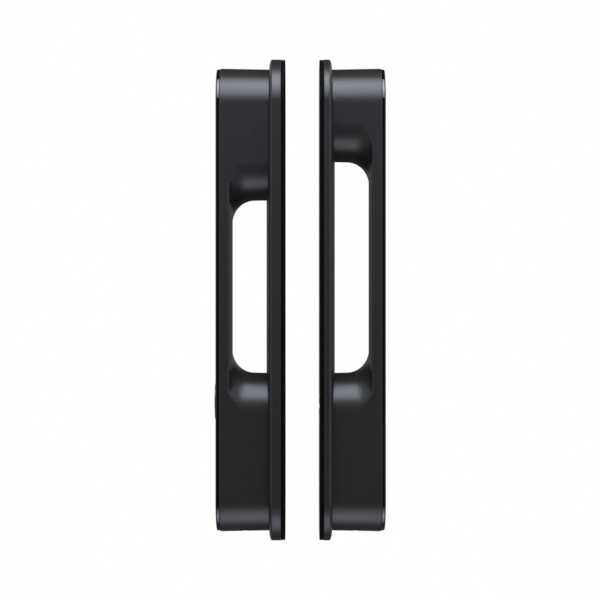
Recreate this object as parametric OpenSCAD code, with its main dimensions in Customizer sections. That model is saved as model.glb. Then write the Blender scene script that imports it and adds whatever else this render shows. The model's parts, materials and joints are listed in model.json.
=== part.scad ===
// Keypad smart lock with a grip handle on each side of the door, in millimetres.
// X runs from the outside to the inside, Y across the door and Z up.
// The origin is the middle of the outer unit's door face, at mid height.
// Every shell is drawn in its own unit's frame, with x growing away from the door.

/* [Overall] */
// Height of both plates
plate_h = 400; // [385:1:430]
// Width of both plates
plate_w = 78; // [76:1:90]
// Space between the two gaskets, which the door fills
door_gap = 28.4; // [20:0.1:60]

/* [Plates] */
// Thickness of the rubber gaskets
gasket_t = 3.4; // [3:0.1:5]
// Straight edge of the outer plate
outer_wall_t = 8.6; // [7:0.1:10]
// Straight edge of the inner plate
inner_wall_t = 5.8; // [5:0.1:7]
// Rise of the sloped band around the grip body
crown_t = 1.1; // [0.6:0.1:2]
// Radius of the flat land that the grip body sits on
crown_r = 34.3; // [33:0.1:36]
// Chamfer of the plate's front edge
plate_edge_c = 1; // [0.4:0.1:1.4]

/* [Grip body] */
// Depth of the grip body, from the plate to the glass
body_d = 40.75; // [40:0.25:46]
// End radius of the grip body at the plate
body_r_back = 30.75; // [30.5:0.05:31]
// End radius of the grip body at the glass
body_r_front = 31.5; // [31.1:0.05:31.9]
// Chamfer of the grip body's front edge
body_edge_c = 0.4; // [0.2:0.1:0.8]
// Wall of the casting around its pockets
body_wall = 2.55; // [2.2:0.05:3]
// Rear wall of the casting
body_floor = 4; // [3:0.1:5]

/* [Finger window] */
// Thickness of the domed web behind the fingers, at its middle
window_web = 2.5; // [1.8:0.05:3.5]
// Thickness of that web at its sides
web_edge_t = 0.6; // [0.5:0.1:1.2]
// Depth of the finger window
window_d = 29.4; // [27:0.05:31]
// Lower end of both windows
window_lo = -60.7; // [-66:0.1:-56]
// Upper end of the outer window
outer_window_hi = 82.9; // [70:0.1:90]
// Upper end of the inner window
inner_window_hi = 114.9; // [100:0.1:118]
// Radius of the flare from the window's ends into the grip bar
flare_r = 19; // [12:0.5:20]
// Half width of the channel milled in the front of the grip bar
channel_half_w = 20; // [18:0.5:22]
// Depth of that channel
channel_d = 4.5; // [4:0.1:5]

/* [Front panels] */
// Thickness of the black glass
glass_t = 2.9; // [2:0.1:4]
// End radius of the glass
glass_r = 30.8; // [30:0.1:31]
// Chamfer of the glass edge
glass_c = 0.8; // [0.3:0.1:1.2]
// Height of the joint between the inner glass and the battery cover
cover_top_z = -102; // [-104:0.5:-101]
// Width of that joint
cover_seam = 0.3; // [0.2:0.05:0.5]
// How far the battery cover slides before it lifts off
cover_travel = 8.5; // [8.5:0.1:9]

/* [Keypad] */
// Middle of the keypad
keypad_z = 137.5; // [135:0.5:140]
// Distance between the key columns
key_pitch_y = 15; // [13:0.5:15]
// Distance between the key rows
key_pitch_z = 16; // [14:0.5:16]

/* [Fingerprint reader] */
// Middle of the fingerprint reader
finger_z = 64.5; // [55:0.5:70]
// Radius of the fingerprint reader's ring
finger_ring_r = 16.65; // [14:0.05:17]
// Radius of the sensor inside the ring
finger_sensor_r = 11; // [9:0.1:12]

/* [Key cylinder and thumbturn] */
// Height of the cylinder and thumbturn axis
axis_z = -84.1; // [-86:0.1:-82]
// Radius of the cap over the keyhole
cap_r = 15.4; // [14:0.1:17]
// How far the cap stands proud of the glass
cap_proud = 1.5; // [0.8:0.1:1.8]
// Radius of the cylinder housing
cylinder_r = 11; // [10:0.1:11.5]
// Radius of the turning plug
plug_r = 6.5; // [6:0.1:7]
// Radius of the thumbturn
turn_r = 13.15; // [12:0.05:13.5]
// How far the thumbturn stands proud of the glass
turn_proud = 0.25; // [0.1:0.05:0.4]
// Side of the square spindle sockets
spindle_w = 7.1; // [6.1:0.1:8.1]
// Running clearance of the turning parts
run_gap = 0.05; // [0.02:0.01:0.08]

/* [Fasteners] */
// Half of the bolt spacing across the plates
bolt_y = 14; // [12:0.5:16]
// Half of the bolt spacing up the plates
bolt_z = 150; // [148:1:155]
// Radius of the tapped holes in the posts
post_hole_r = 2.5; // [2:0.1:3]
// Radius of the bolt holes in the mounting plate
bolt_hole_r = 3.25; // [3:0.05:3.5]
// Offset of the body screws from the middle
screw_y = 23.6; // [23:0.1:23.8]
// Shank radius of the M4 screws
screw_r = 1.98; // [1.9:0.01:2]

/* [Hidden] */
$fn = 96;

eps = 1;                                       // how far a cutter runs past a face
fit = 0.02;                                    // gap of pieces pressed or bonded together
plate_r = plate_w / 2;
end_z = plate_h / 2 - plate_r;                 // height of the round ends' centres
outer_body_x = gasket_t + outer_wall_t + crown_t;
inner_body_x = gasket_t + inner_wall_t + crown_t;
recess_r = 27;                                 // rear recess of the plates
outer_recess_x = 8.6;                          // floor of the outer plate's recess
inner_recess_x = 5.8;                          // floor of the inner plate's recess
mount_plate_t = 2;
post_r = 5;
tail_r = 6;
cable_half_w = 8;
outer_cable_z = 138;                           // lower edge of each harness header
inner_cable_z = 156;
pocket_r = body_r_back - body_wall;
window_bar_x = window_web + window_d;          // rear face of the grip bar
web_rise = window_web - web_edge_t;
web_r = (body_r_back * body_r_back + web_rise * web_rise) / (2 * web_rise);
window_lo_c = window_lo - body_r_back;         // centres of the blocks' round ends
outer_window_hi_c = outer_window_hi + body_r_back;
inner_window_hi_c = inner_window_hi + body_r_back;
channel_x = body_d - channel_d;
glass_x = body_d + glass_t;                    // front face of the glass

boss_r = 4.4;
boss_x = 14;
outer_screw_z = [end_z, outer_window_hi_c + 4, window_lo_c - 4, -end_z];
inner_screw_z = [end_z, window_lo_c - 4, -end_z];
countersink_d = 2.2;
screw_head_r = 3.9;
retain_y = 15;
retain_z = -101;
hook_z = 125;

board_t = 1.6;
guide_t = 3;
guide_x = body_d - guide_t;
keypad_board_x = guide_x - board_t;
keypad_half_w = 24;
keypad_half_h = 33;
key_cols = [-1, 0, 1];
key_rows = [-1.5, -0.5, 0.5, 1.5];
stand_r = 3;
pin_r = 1.2;
main_board_x = 14;
main_board_half_w = 18;

well_x = 30;                                   // seat of the key well on the cylinder's boss
well_floor_t = 3;
well_r = 13.05;
well_bore_r = 11.5;
cylinder_boss_r = 14;
plug_lip_r = 7.4;
plug_back_x = -7;                              // rear end of the plug, behind the body
clip_x = -5;                                   // groove of the plug's clip
clip_t = 1;
bush_r = 9;
bush_x1 = 34;
turn_boss_r = 11.5;
turn_t = 5;
turn_x = glass_x + turn_proud - turn_t;
turn_clip_x = -1.6;

battery_half_w = 18.5;
battery_x0 = 4.2;
battery_x1 = 33;
battery_z0 = -180;
battery_z1 = -108;
tab_z = [-151, -121];                          // lower ends of the cover's tabs
tab_len = cover_travel - 0.5;
tab_lip_t = 2;
tab_lip_y = 26;
tab_clear = 0.2;
tab_foot_t = 2;
tab_foot_w = 4;
tab_foot_x = body_d - tab_lip_t - tab_clear - tab_foot_t;

usb_x = 20;
usb_half_w = 4.5;
usb_r = 1.9;
usb_z0 = -(end_z + body_r_back) + 0.6;
usb_len = 7.3;
usb_notch_half_w = 9;                          // finger notch around the port's mouth

// ---------- frames and basic forms ----------

module outer_unit() mirror([1, 0, 0]) children();

module inner_unit() translate([door_gap, 0, 0]) children();

module outer_grip() outer_unit() translate([outer_body_x, 0, 0]) children();

module inner_grip() inner_unit() translate([inner_body_x, 0, 0]) children();

// The shared axis of the key cylinder and the thumbturn
module at_axis() translate([0, 0, axis_z]) children();

// Round bar along x from x0 to x1, or a cone where r2 is given
module rod(x0, x1, r, r2 = 0)
    translate([x0, 0, 0])
        rotate([0, 90, 0])
            cylinder(r1 = r, r2 = r2 == 0 ? r : r2, h = x1 - x0);

// Box from x0 to x1 and z0 to z1, centred across the door
module block(x0, x1, half_w, z0, z1)
    translate([x0, -half_w, z0])
        cube([x1 - x0, 2 * half_w, z1 - z0]);

// Upright round-ended slab whose edge slopes from r0 at x0 to r1 at x1
module slab(x0, x1, z0, z1, r0, r1) {
    for (z = [z0, z1])
        translate([0, 0, z])
            rod(x0, x1, r0, r1);
    translate([0, 0, z0])
        linear_extrude(z1 - z0)
            polygon([[x0, -r0], [x0, r0], [x1, r1], [x1, -r1]]);
}

// Pairs of places at +-y on each of the given heights
module each_side(y, heights)
    for (z = heights, s = [-1, 1])
        translate([0, s * y, z])
            children();

// ---------- plates and gaskets ----------

module gasket_blank() slab(0, gasket_t, -end_z, end_z, plate_r - 0.3, plate_r - 0.3);

// Plate with a sloped band around the land of the grip body
module plate(wall_t, recess_x, screw_heights) {
    front_x = gasket_t + wall_t;
    difference() {
        union() {
            slab(gasket_t, front_x - plate_edge_c, -end_z, end_z, plate_r, plate_r);
            slab(front_x - plate_edge_c, front_x, -end_z, end_z, plate_r, plate_r - plate_edge_c);
            slab(front_x, front_x + crown_t, -end_z, end_z, plate_r - plate_edge_c, crown_r);
        }
        slab(gasket_t - eps, recess_x, -end_z, end_z, recess_r, recess_r);
        each_side(screw_y, screw_heights) {
            rod(recess_x - eps, front_x + crown_t + eps, screw_r + 0.2);
            rod(recess_x, recess_x + countersink_d, screw_head_r, screw_r);
        }
    }
}

// Pad with cut-outs for the posts, the spindle and the harness
module outer_gasket()
    color("#0b0b0c") outer_unit()
        difference() {
            gasket_blank();
            each_side(bolt_y, [-bolt_z, bolt_z])
                rod(-eps, gasket_t + eps, post_r + 0.3);
            at_axis()
                rod(-eps, gasket_t + eps, tail_r + 2);
            block(-eps, gasket_t + eps, cable_half_w, outer_cable_z - 2, outer_cable_z + 10);
        }

// Ring around the mounting plate
module inner_gasket()
    color("#0b0b0c") inner_unit()
        difference() {
            gasket_blank();
            slab(-eps, gasket_t + eps, -end_z, end_z, recess_r, recess_r);
        }

module outer_plate()
    color("#2b2b2e") outer_unit()
        difference() {
            plate(outer_wall_t, outer_recess_x, outer_screw_z);
            at_axis()
                rod(0, outer_body_x + eps, cylinder_r + fit);
            outer_connector_form(fit);
        }

module inner_plate()
    color("#2b2b2e") inner_unit()
        difference() {
            plate(inner_wall_t, inner_recess_x, inner_screw_z);
            at_axis()
                rod(0, inner_body_x + eps, bush_r + 1.5);
            each_side(retain_y, [retain_z])
                rod(0, inner_body_x + eps, screw_r + 0.2);
            inner_connector_form(fit);
        }

// Steel plate that the door bolts hold, with stand-offs for the inner plate
module mounting_plate()
    color("#8d9094") inner_unit()
        difference() {
            union() {
                slab(0, mount_plate_t, -end_z, end_z, recess_r - 0.5, recess_r - 0.5);
                each_side(retain_y, [retain_z, hook_z])
                    rod(mount_plate_t, inner_recess_x - fit, 4);
            }
            each_side(bolt_y, [-bolt_z, bolt_z])
                rod(-eps, mount_plate_t + eps, bolt_hole_r);
            each_side(retain_y, [retain_z])
                rod(-eps, inner_recess_x, screw_r + fit);
            at_axis()
                rod(-eps, mount_plate_t + eps, bush_r);
            block(-eps, mount_plate_t + eps, cable_half_w, inner_cable_z - 6, inner_cable_z + 14);
        }

// Tapped posts on the outer plate, which the door bolts pull on
module threaded_posts()
    color("#a9acb0") outer_unit()
        each_side(bolt_y, [-bolt_z, bolt_z])
            difference() {
                rod(0.2, outer_recess_x, post_r);
                rod(-eps, outer_recess_x + eps, post_hole_r);
            }

// ---------- grip bodies ----------

// One round end of a window: a block end that flares out into the grip bar
module window_end(z_c) {
    draft = (body_r_front - body_r_back) / body_d;
    arc_x = window_bar_x - flare_r + 0.15;     // just short of tangent to the bar
    r_arc = body_r_back + 0.1 + draft * arc_x;
    r_out = r_arc + flare_r;
    translate([0, 0, z_c])
        rotate([0, 90, 0])
            rotate_extrude()
                difference() {
                    square([r_out, window_bar_x + eps]);
                    polygon([
                        [body_r_back + 0.1 - draft, -eps], [r_out + eps, -eps],
                        [r_out + eps, arc_x], [r_arc, arc_x]
                    ]);
                    translate([r_out, arc_x])
                        circle(r = flare_r);
                }
}

// The finger window between the domed web and the grip bar
module window(z0_c, z1_c)
    difference() {
        block(web_edge_t, window_bar_x, plate_r, z0_c, z1_c);
        translate([window_web - web_r, 0, z0_c - eps])
            cylinder(r = web_r, h = z1_c - z0_c + 2 * eps, $fn = 360);
        window_end(z0_c);
        window_end(z1_c);
    }

// Casting with a window, a pocket in each block and a channel along the bar
module grip_body(window_hi_c, screw_heights) {
    edge_x = body_d - body_edge_c;
    difference() {
        union() {
            slab(0, edge_x, -end_z, end_z, body_r_back, body_r_front);
            slab(edge_x, body_d, -end_z, end_z, body_r_front, body_r_front - body_edge_c);
        }
        window(window_lo_c, window_hi_c);
        slab(body_floor, body_d + eps, -end_z, window_lo_c, pocket_r, pocket_r);
        slab(body_floor, body_d + eps, window_hi_c, end_z, pocket_r, pocket_r);
        block(channel_x, body_d + eps, channel_half_w, window_lo_c, window_hi_c);
        each_side(screw_y, screw_heights)
            rod(-eps, body_floor + eps, screw_r + fit);
        usb_form(usb_half_w, usb_r, usb_z0 - eps * 3, usb_z0 + usb_len);
        usb_form(usb_notch_half_w, usb_r, usb_z0 - eps * 3, usb_z0);
    }
    each_side(screw_y, screw_heights)
        difference() {
            rod(body_floor, boss_x, boss_r);
            rod(body_floor - eps, boss_x - 2, screw_r + fit);
        }
}

// Board stand-off with a pin that the board drops over
module board_stand(top_x) {
    rod(body_floor, top_x, stand_r);
    rod(top_x, top_x + board_t, pin_r);
}

module outer_body()
    color("#2d2d30") outer_grip() {
        difference() {
            union() {
                grip_body(outer_window_hi_c, outer_screw_z);
                at_axis()
                    rod(body_floor, well_x, cylinder_boss_r);
            }
            at_axis()
                rod(-eps, well_x + eps, cylinder_r + fit);
            translate([-outer_body_x, 0, 0])
                outer_connector_form(fit);
        }
        each_side(keypad_half_w - 5, [keypad_z - keypad_half_h + 5, keypad_z + keypad_half_h - 5])
            board_stand(keypad_board_x);
        each_side(main_board_half_w - 4, [-175, -119])
            board_stand(main_board_x);
    }

module inner_body()
    color("#2d2d30") inner_grip() {
        difference() {
            union() {
                grip_body(inner_window_hi_c, inner_screw_z);
                at_axis()
                    rod(body_floor, bush_x1, turn_boss_r);
                cover_tabs()
                    translate([body_d - tab_lip_t, tab_lip_y, 0])
                        cube([tab_lip_t, pocket_r - tab_lip_y + 0.5, tab_len]);
            }
            at_axis()
                rod(-eps, bush_x1 + eps, bush_r + fit);
            each_side(retain_y, [retain_z])
                rod(-eps, body_floor + eps, screw_r + 0.2);
            translate([-inner_body_x, 0, 0])
                inner_connector_form(fit);
        }
        each_side(keypad_half_w - 5, [end_z - 10, end_z + 10])
            board_stand(main_board_x);
    }

// ---------- front panels ----------

module panel() {
    slab(body_d, glass_x - glass_c, -end_z, end_z, glass_r, glass_r);
    slab(glass_x - glass_c, glass_x, -end_z, end_z, glass_r, glass_r - glass_c);
}

module outer_glass()
    color("#08080a") outer_grip()
        difference() {
            panel();
            translate([0, 0, finger_z])
                rod(body_d - eps, glass_x + eps, finger_ring_r + fit);
            at_axis()
                rod(body_d - eps, glass_x + eps, well_r + fit);
        }

module inner_glass()
    color("#08080a") inner_grip()
        difference() {
            panel();
            block(body_d - eps, glass_x + eps, plate_r, -plate_h, cover_top_z + cover_seam);
            at_axis()
                rod(body_d - eps, glass_x + eps, turn_r + 0.15);
        }

// The four places where the cover's tabs hook under the body's lips, on +y and mirrored
module cover_tabs()
    for (z = tab_z, m = [0, 1])
        mirror([0, m, 0])
            translate([0, 0, z])
                children();

// Lower front panel, which slides down until its tabs clear the lips
module battery_cover()
    color("#0c0c0e") inner_grip() {
        intersection() {
            translate([run_gap, 0, 0])
                panel();
            block(body_d, glass_x + eps, plate_r, -plate_h, cover_top_z);
        }
        cover_tabs() {
            translate([tab_foot_x, tab_lip_y - tab_clear - tab_foot_t, 0])
                cube([body_d + run_gap * 2 - tab_foot_x, tab_foot_t, tab_len]);
            translate([tab_foot_x, tab_lip_y - tab_clear - tab_foot_t, 0])
                cube([tab_foot_t, tab_foot_w, tab_len]);
        }
    }

// ---------- keypad and fingerprint reader ----------

module keypad_outline(x0, x1)
    block(x0, x1, keypad_half_w, keypad_z - keypad_half_h, keypad_z + keypad_half_h);

module keys()
    for (r = key_rows, c = key_cols)
        translate([0, c * key_pitch_y, keypad_z + r * key_pitch_z])
            children();

module keypad_light_guide()
    color("#d9dde0") outer_grip()
        difference() {
            keypad_outline(guide_x, body_d);
            keys()
                block(guide_x - eps, body_d + eps, 4.5, -5, 5);
        }

module keypad_leds()
    color("#f4f6ff") outer_grip()
        keys()
            block(guide_x, guide_x + 0.8, 1.4, -1.75, 1.75);

module keypad_board()
    color("#12331f") outer_grip()
        difference() {
            keypad_outline(keypad_board_x, guide_x);
            each_side(keypad_half_w - 5, [keypad_z - keypad_half_h + 5, keypad_z + keypad_half_h - 5])
                rod(keypad_board_x - eps, guide_x + eps, pin_r + fit);
        }

module fingerprint_ring()
    color("#3a3b40") outer_grip()
        translate([0, 0, finger_z])
            difference() {
                rod(channel_x, glass_x, finger_ring_r);
                rod(channel_x - eps, glass_x + eps, finger_sensor_r + fit);
                rod(glass_x - 1.2, glass_x + eps, finger_sensor_r, finger_sensor_r + 4);
            }

module fingerprint_sensor()
    color("#101014") outer_grip()
        translate([0, 0, finger_z])
            rod(channel_x, glass_x - 1.2, finger_sensor_r);

// ---------- boards and small parts of the outer unit ----------

module outer_main_board()
    color("#12331f") outer_grip() {
        difference() {
            block(main_board_x, main_board_x + board_t, main_board_half_w, -180, -114);
            each_side(main_board_half_w - 4, [-175, -119])
                rod(main_board_x - eps, main_board_x + board_t + eps, pin_r + fit);
        }
        block(main_board_x + board_t, main_board_x + board_t + 1.4, 5, -170, -160);
        block(main_board_x + board_t, main_board_x + board_t + 6, 7, -156, -146);
    }

module speaker()
    color("#3c3e42") outer_grip()
        translate([main_board_x + board_t, 0, -130])
            difference() {
                rod(0, 4.5, 10);
                rod(3.5, 4.5 + eps, 8.5);
            }

module card_antenna()
    color("#6b4a22") outer_grip()
        difference() {
            block(body_d - 0.8, body_d, 18, -178, -114);
            block(body_d - 0.8 - eps, body_d + eps, 13, -173, -119);
        }

// Flat-sided round-ended opening that runs up from the lower end
module usb_form(half_w, r, z0, z1)
    translate([usb_x, 0, z0]) {
        for (s = [-1, 1])
            translate([0, s * (half_w - r), 0])
                cylinder(r = r, h = z1 - z0);
        translate([-r, -(half_w - r), 0])
            cube([2 * r, 2 * (half_w - r), z1 - z0]);
    }

module usb_port() {
    shell_w = usb_half_w - fit;
    shell_r = usb_r - fit;
    difference() {
        usb_form(shell_w, shell_r, usb_z0, usb_z0 + usb_len);
        usb_form(shell_w - 0.4, shell_r - 0.4, usb_z0 - eps, usb_z0 + usb_len - 1);
    }
    translate([usb_x - 0.35, -3.2, usb_z0 + 1])
        cube([0.7, 6.4, usb_len - 1.5]);
    translate([usb_x - 3.5, -6, usb_z0 + usb_len])
        cube([7, 12, board_t]);
}

module outer_usb_port() color("#b9bcc0") outer_grip() usb_port();

module inner_usb_port() color("#b9bcc0") inner_grip() usb_port();

// Header that leads the harness through the rear wall, grown by gap where it is cut
module header_form(x0, x1, z0, gap)
    block(x0, x1, 6 + gap, z0 - gap, z0 + 8 + gap);

module outer_connector_form(gap)
    header_form(3, outer_body_x + body_floor + 5, outer_cable_z, gap);

module inner_connector_form(gap)
    header_form(3, inner_body_x + body_floor + 5, inner_cable_z, gap);

// Opens the header form that is passed in towards the door, and sets five pins in it
module header(z0) {
    difference() {
        children();
        block(2, 7, 5, z0 + 1, z0 + 7);
    }
    for (i = [-2:2])
        translate([4, i * 2 - 0.3, z0 + 3.7])
            cube([4, 0.6, 0.6]);
}

module outer_connector()
    color("#e8e6dd") outer_unit()
        header(outer_cable_z)
            outer_connector_form(0);

module inner_connector()
    color("#e8e6dd") inner_unit()
        header(inner_cable_z)
            inner_connector_form(0);

// ---------- key cylinder ----------

module key_well()
    color("#1b1b1e") outer_grip() at_axis()
        difference() {
            rod(well_x, glass_x - 0.2, well_r);
            rod(well_x + well_floor_t, glass_x + eps, well_bore_r);
            rod(well_x - eps, well_x + well_floor_t + eps, plug_lip_r + 0.3);
        }

// Lift-off cap over the keyhole, with a magnet in its back
module key_cap()
    color("#111114") outer_grip() at_axis()
        difference() {
            union() {
                rod(glass_x - 4, glass_x, well_bore_r - 0.2);
                rod(glass_x, glass_x + cap_proud - 0.6, cap_r);
                rod(glass_x + cap_proud - 0.6, glass_x + cap_proud, cap_r, cap_r - 0.6);
            }
            rod(glass_x - 4 - eps, glass_x - 2, 4 + fit);
        }

module cap_magnet()
    color("#c4c6ca") outer_grip() at_axis()
        rod(glass_x - 4, glass_x - 2, 4);

module cylinder_housing()
    color("#b7a46a") outer_grip() at_axis()
        difference() {
            rod(plug_back_x + 4, well_x, cylinder_r);
            rod(plug_back_x, well_x + eps, plug_r + run_gap);
            rod(well_x - 2, well_x + eps, plug_lip_r + run_gap);
        }

module key_plug()
    color("#c9b77c") outer_grip() at_axis()
        difference() {
            union() {
                rod(plug_back_x, well_x, plug_r);
                rod(well_x - 2 + run_gap, well_x, plug_lip_r);
            }
            translate([4, -0.6, -4])
                cube([well_x, 1.2, 8]);
            clip_groove(clip_x);
        }

// Groove for a retaining ring around a shaft of the plug's radius
module clip_groove(x0)
    difference() {
        rod(x0, x0 + clip_t, plug_r + eps);
        rod(x0 - eps, x0 + clip_t + eps, plug_r - 1);
    }

// Open retaining ring that sits in the groove
module clip(x0)
    at_axis()
        difference() {
            rod(x0, x0 + clip_t, plug_r + 2);
            rod(x0 - eps, x0 + clip_t + eps, plug_r - 1);
            block(x0 - eps, x0 + clip_t + eps, 2, 0, plug_r + 3);
        }

module plug_clip() color("#9a9da1") outer_grip() clip(clip_x);

module tailpiece()
    color("#9a9da1") outer_grip() at_axis()
        difference() {
            rod(-outer_body_x + 0.5, plug_back_x, tail_r);
            translate([-outer_body_x, -spindle_w / 2, -spindle_w / 2])
                cube([4, spindle_w, spindle_w]);
        }

// ---------- battery compartment ----------

module battery_pack()
    color("#23262b") inner_grip()
        intersection() {
            block(battery_x0, battery_x1, battery_half_w, battery_z0, battery_z1);
            slab(battery_x0, battery_x1, battery_z0 + battery_half_w + 1,
                 battery_z1 - battery_half_w - 1, battery_half_w + 2, battery_half_w + 2);
        }

module battery_contacts()
    color("#c8a24a") inner_grip() {
        block(body_floor, body_floor + 12, 9, battery_z1 + 0.2, battery_z1 + 3);
        for (y = [-6, 0, 6])
            translate([body_floor + 4, y - 1, battery_z1])
                cube([5, 2, 0.2]);
    }

// ---------- thumbturn ----------

module thumbturn()
    color("#17171a") inner_grip() at_axis()
        difference() {
            rod(turn_x, glass_x + turn_proud, turn_r);
            for (s = [-1, 1])
                translate([glass_x - 3, s > 0 ? 2.5 : -2.5 - 7, -7.5])
                    cube([4, 7, 15]);
            rod(turn_x - eps, turn_x + 1.5, plug_r + fit);
        }

module thumbturn_shaft()
    color("#9a9da1") inner_grip() at_axis()
        difference() {
            rod(-inner_body_x + 0.5, turn_x + 1.5, plug_r);
            translate([-inner_body_x, -spindle_w / 2, -spindle_w / 2])
                cube([20, spindle_w, spindle_w]);
            clip_groove(turn_clip_x);
        }

module thumbturn_bush()
    color("#c7c9cc") inner_grip() at_axis()
        difference() {
            union() {
                rod(0, bush_x1, bush_r);
                rod(bush_x1, bush_x1 + 1.5, turn_boss_r);
            }
            rod(-eps, bush_x1 + 1.5 + eps, plug_r + run_gap);
        }

module thumbturn_clip() color("#9a9da1") inner_grip() clip(turn_clip_x);

// ---------- board and buzzer of the inner unit ----------

module inner_main_board()
    color("#12331f") inner_grip()
        difference() {
            block(main_board_x, main_board_x + board_t, 22, end_z - 24, end_z + 14);
            each_side(keypad_half_w - 5, [end_z - 10, end_z + 10])
                rod(main_board_x - eps, main_board_x + board_t + eps, pin_r + fit);
        }

module buzzer()
    color("#1c1c1e") inner_grip()
        translate([main_board_x + board_t, 0, end_z - 14])
            difference() {
                rod(0, 7, 7);
                rod(6, 7 + eps, 1.2);
            }

// ---------- screws ----------

// Countersunk M4 screw with its head at the origin, with a hexagon socket
module body_screw(len)
    difference() {
        union() {
            rod(0, countersink_d - 0.1, screw_head_r - 0.1, screw_r);
            rod(countersink_d - 0.1, len, screw_r);
        }
        rotate([0, 90, 0])
            translate([0, 0, -eps])
                cylinder(r = 1.4, h = 2.4, $fn = 6);
    }

module outer_body_screws()
    color("#55575b") outer_unit()
        each_side(screw_y, outer_screw_z)
            translate([outer_recess_x + 0.05, 0, 0])
                body_screw(14);

module inner_body_screws()
    color("#55575b") inner_unit()
        each_side(screw_y, inner_screw_z)
            translate([inner_recess_x + 0.05, 0, 0])
                body_screw(13);

// Pan-head screws in the battery bay that hold the inner unit to its mounting plate
module retaining_screws()
    color("#55575b") inner_grip()
        each_side(retain_y, [retain_z])
            difference() {
                union() {
                    rod(body_floor, body_floor + 2.6, 3.8);
                    rod(-inner_body_x + 0.5, body_floor, screw_r);
                }
                rotate([0, 90, 0])
                    translate([0, 0, body_floor + 1])
                        cylinder(r = 1.6, h = 3, $fn = 6);
            }

outer_gasket();
outer_plate();
outer_body();
outer_glass();
keypad_light_guide();
keypad_leds();
keypad_board();
fingerprint_ring();
fingerprint_sensor();
outer_main_board();
speaker();
card_antenna();
outer_usb_port();
key_well();
key_cap();
cap_magnet();
cylinder_housing();
key_plug();
plug_clip();
tailpiece();
threaded_posts();
outer_body_screws();
outer_connector();
inner_gasket();
mounting_plate();
inner_plate();
inner_body();
inner_glass();
battery_cover();
battery_pack();
battery_contacts();
thumbturn();
thumbturn_shaft();
thumbturn_bush();
thumbturn_clip();
inner_main_board();
buzzer();
inner_usb_port();
inner_body_screws();
retaining_screws();
inner_connector();
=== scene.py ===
import functools
import json
import math

import bmesh
import bpy
from bpy.props import FloatProperty, IntProperty, PointerProperty, StringProperty
from mathutils import Matrix, Vector

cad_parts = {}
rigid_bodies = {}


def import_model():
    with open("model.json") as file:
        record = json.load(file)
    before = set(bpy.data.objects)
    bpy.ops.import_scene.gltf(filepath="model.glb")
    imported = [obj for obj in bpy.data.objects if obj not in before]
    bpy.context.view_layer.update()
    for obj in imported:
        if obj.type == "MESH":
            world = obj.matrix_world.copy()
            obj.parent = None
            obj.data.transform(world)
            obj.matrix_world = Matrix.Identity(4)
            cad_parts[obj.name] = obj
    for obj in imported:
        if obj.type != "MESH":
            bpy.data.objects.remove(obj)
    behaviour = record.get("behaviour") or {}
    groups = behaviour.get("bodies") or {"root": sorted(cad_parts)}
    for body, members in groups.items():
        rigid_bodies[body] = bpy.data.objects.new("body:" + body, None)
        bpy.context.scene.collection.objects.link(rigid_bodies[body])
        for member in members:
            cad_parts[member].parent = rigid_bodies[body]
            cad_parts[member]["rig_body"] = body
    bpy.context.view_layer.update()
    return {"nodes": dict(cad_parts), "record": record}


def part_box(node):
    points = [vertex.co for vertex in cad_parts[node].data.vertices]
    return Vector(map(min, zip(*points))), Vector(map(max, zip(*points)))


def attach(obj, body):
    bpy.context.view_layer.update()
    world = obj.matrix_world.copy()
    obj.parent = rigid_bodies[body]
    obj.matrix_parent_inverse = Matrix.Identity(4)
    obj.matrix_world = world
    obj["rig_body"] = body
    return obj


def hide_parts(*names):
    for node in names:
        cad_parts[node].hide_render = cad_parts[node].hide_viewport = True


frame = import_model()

bl_info = {
    "name": "Keypad grip lock",
    "version": (1, 0, 0),
    "blender": (4, 5, 0),
    "location": "View3D > Sidebar > Grip lock",
    "description": "Shells, glass and finishes of a keypad lock with a grip handle on each side of the door",
    "category": "Object",
}

# X runs from the outside of the door to the inside, Y across the door and Z up, in metres. Every shell is
# shaped in its own unit's frame, where x is the depth measured away from the door, and is then set in place.


def mm(value):
    """Millimetres as Blender's metres."""
    return value / 1000


# ---------- places taken from the frame ----------

DOOR_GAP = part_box("inner_gasket")[0].x
OUTER = "outer_unit"
INNER = "inner_unit"
UNIT_PLACE = {
    OUTER: Matrix.Scale(-1, 4, (1, 0, 0)),
    INNER: Matrix.Translation((DOOR_GAP, 0, 0)),
}


def depths(node):
    """Where a node starts and ends, measured away from the door's face."""
    low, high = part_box(node)
    if high.x <= DOOR_GAP / 2:
        return -high.x, -low.x
    return low.x - DOOR_GAP, high.x - DOOR_GAP


PLATE_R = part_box("outer_plate")[1].y
END_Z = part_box("outer_plate")[1].z - PLATE_R  # height of the round ends' centres
AXIS_Z = sum(corner.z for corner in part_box("key_cap")) / 2
FINGER_Z = sum(corner.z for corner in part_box("fingerprint_ring")) / 2
KEYPAD_Z = sum(corner.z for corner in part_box("keypad_board")) / 2
BODY_D = depths("outer_body")[1] - depths("outer_body")[0]
FRONT_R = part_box("outer_body")[1].y
GLASS_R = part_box("outer_glass")[1].y
FIT = mm(0.02)  # gap between a piece and what it sits on
NEAR = mm(0.01)  # places closer than this count as one
MARGIN = mm(1)  # how far a cutter reaches past what it cuts
CORE_R = mm(15)  # radius inside which the faces of a plate or a panel are filled flat
HUB_R = mm(2)  # the same for the cap and the thumbturn


# ---------- what a user would change ----------


def length(name, description, default):
    """A length that a user may change, with its default given in millimetres."""
    return FloatProperty(name=name, description=description, default=mm(default), unit="LENGTH")


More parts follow.
